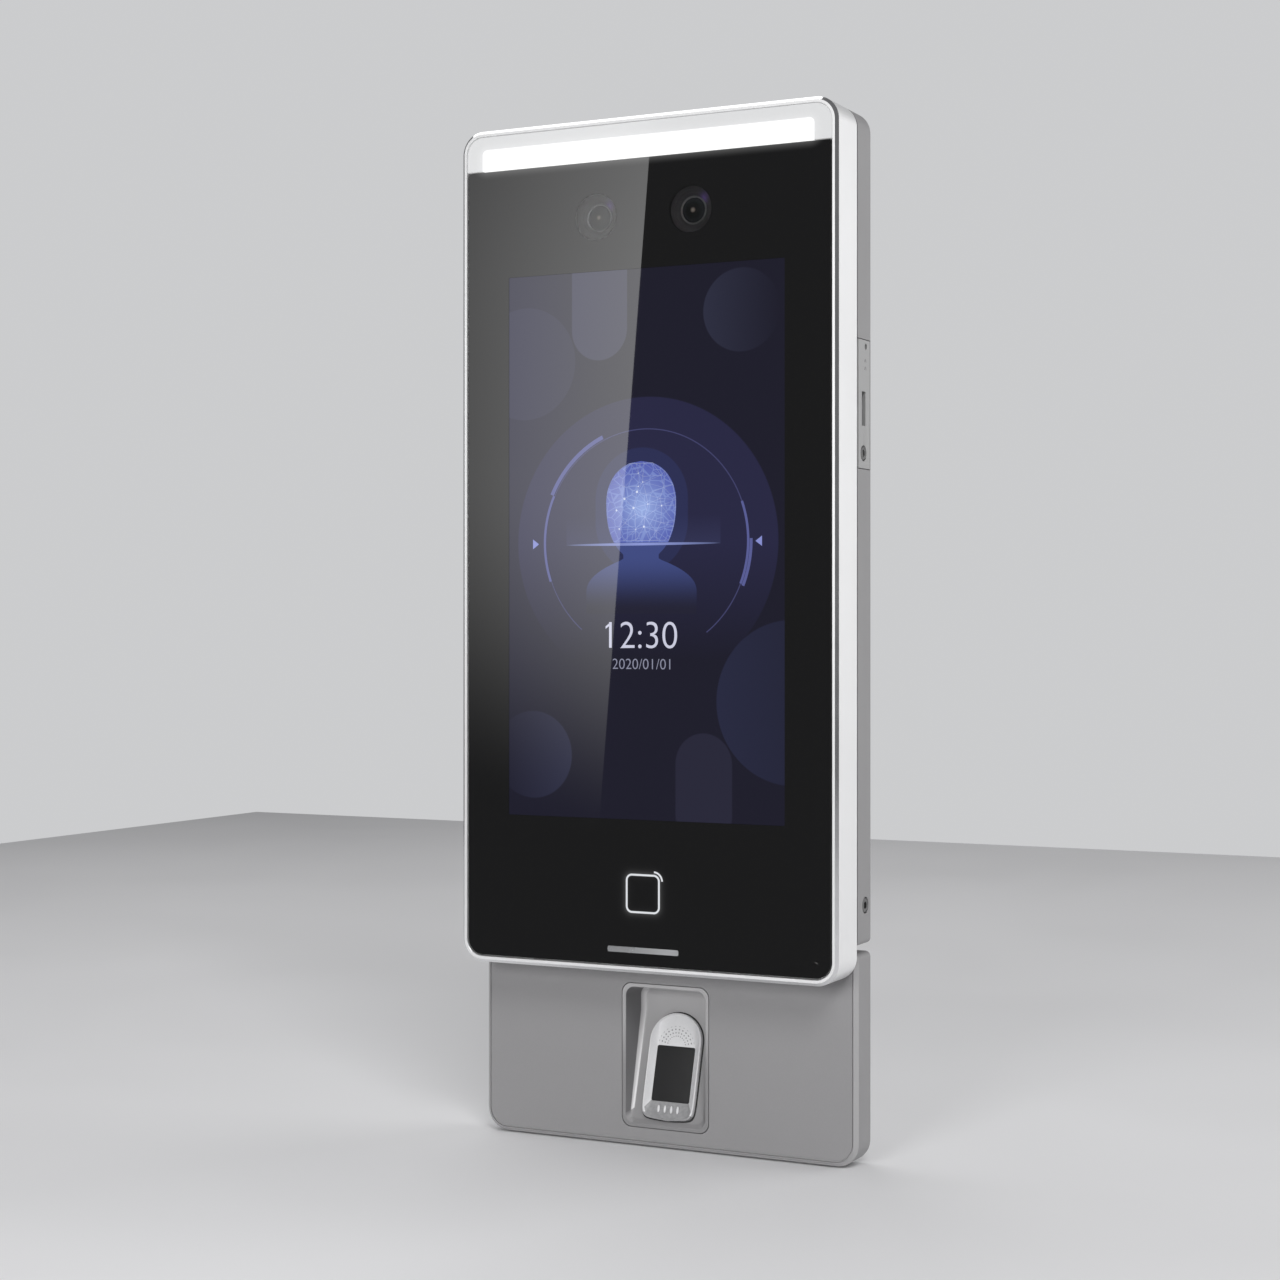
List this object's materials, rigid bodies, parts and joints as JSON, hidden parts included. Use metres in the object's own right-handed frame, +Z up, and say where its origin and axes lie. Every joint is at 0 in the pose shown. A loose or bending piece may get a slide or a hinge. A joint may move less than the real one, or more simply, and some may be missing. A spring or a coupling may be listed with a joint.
{
  "type": "fingerprint scanner terminal",
  "caption": "Slim wall-mounted access terminal: tall touchscreen with face cameras and light bar, and a fingerprint reader in a finger pocket below.",
  "frame": {"origin": "on the wall plane, at the middle of the main unit's width and height", "axes": "+Z up, +Y into the wall, so the user stands at -Y, +X to the user's right"},
  "size_m": [0.117, 0.0285, 0.2916],
  "materials": {
    "frame_metal": "satin anodised, pale silver",
    "cover_glass": "polished, printed black behind",
    "light_diffuser": "opal white, lit from behind",
    "icon_light": "white light guide, lit",
    "bright_trim": "satin bright plate",
    "black_rubber": "matte",
    "circuit_board": "green solder mask",
    "screen": "dark blue-grey display",
    "tin_plate": "tin plated sheet",
    "black_plastic": "fine matte",
    "lens_glass": "coated lens, dark",
    "grey_plastic": "fine spark-eroded grain",
    "light_grey_plastic": "fine spark-eroded grain",
    "white_plastic": "smooth",
    "zinc_steel": "zinc plated sheet",
    "screw_steel": "nickel plated",
    "green_plastic": "terminal block green",
    "sensor_glass": "coated sensor glass",
    "copper_film": "amber film ribbon"
  },
  "bodies": {
    "wall_mount": {"wall_plate": "zinc_steel"},
    "terminal": {"antenna_board": "circuit_board", "badge_inlay": "bright_trim", "camera_board": "circuit_board", "camera_left_barrel": "black_plastic", "camera_left_lens": "lens_glass", "camera_right_barrel": "black_plastic", "camera_right_lens": "lens_glass", "coin_cell": "tin_plate", "cover_screw_1": "screw_steel", "cover_screw_2": "screw_steel", "display_panel": "screen", "display_tray": "tin_plate", "dock_bracket": "zinc_steel", "dock_screw_1": "screw_steel", "dock_screw_2": "screw_steel", "dock_screw_3": "screw_steel", "dock_screw_4": "screw_steel", "dock_seal": "black_rubber", "front_frame": "frame_metal", "front_glass": "cover_glass", "glass_gasket": "black_rubber", "housing_screw_1": "screw_steel", "housing_screw_2": "screw_steel", "housing_screw_3": "screw_steel", "housing_screw_4": "screw_steel", "housing_screw_5": "screw_steel", "housing_screw_6": "screw_steel", "icon_arc": "icon_light", "icon_ring": "icon_light", "light_board": "circuit_board", "light_panel": "light_diffuser", "lock_screw": "screw_steel", "main_board": "circuit_board", "microphone": "tin_plate", "network_socket": "tin_plate", "pocket_insert": "grey_plastic", "port_board": "circuit_board", "port_panel": "light_grey_plastic", "port_panel_screw": "screw_steel", "processor_shield": "tin_plate", "reader_cable": "copper_film", "reader_rear_cover": "grey_plastic", "reader_shell": "grey_plastic", "rear_housing": "grey_plastic", "reset_switch": "black_plastic", "sensor_bezel": "bright_trim", "sensor_board": "circuit_board", "sensor_window": "sensor_glass", "service_port": "tin_plate", "speaker": "black_plastic", "tamper_switch": "black_plastic", "terminal_block_door": "green_plastic", "terminal_block_power": "green_plastic", "terminal_board": "circuit_board", "wiring_bay": "black_plastic"},
    "tamper_pin": {"tamper_plunger": "white_plastic"},
    "reset_key": {"reset_button": "black_plastic"}
  },
  "joints": [
    {"name": "wall_release", "type": "slide", "parent": "wall_mount", "child": "terminal", "axis": [0, 0, 1], "range_m": [0, 0.005]},
    {"name": "tamper_press", "type": "slide", "parent": "terminal", "child": "tamper_pin", "axis": [0, -1, 0], "range_m": [0, 0.0012], "stiffness_N_per_m": 300},
    {"name": "reset_press", "type": "slide", "parent": "terminal", "child": "reset_key", "axis": [-1, 0, 0], "range_m": [0, 0.0004], "stiffness_N_per_m": 500}
  ]
}
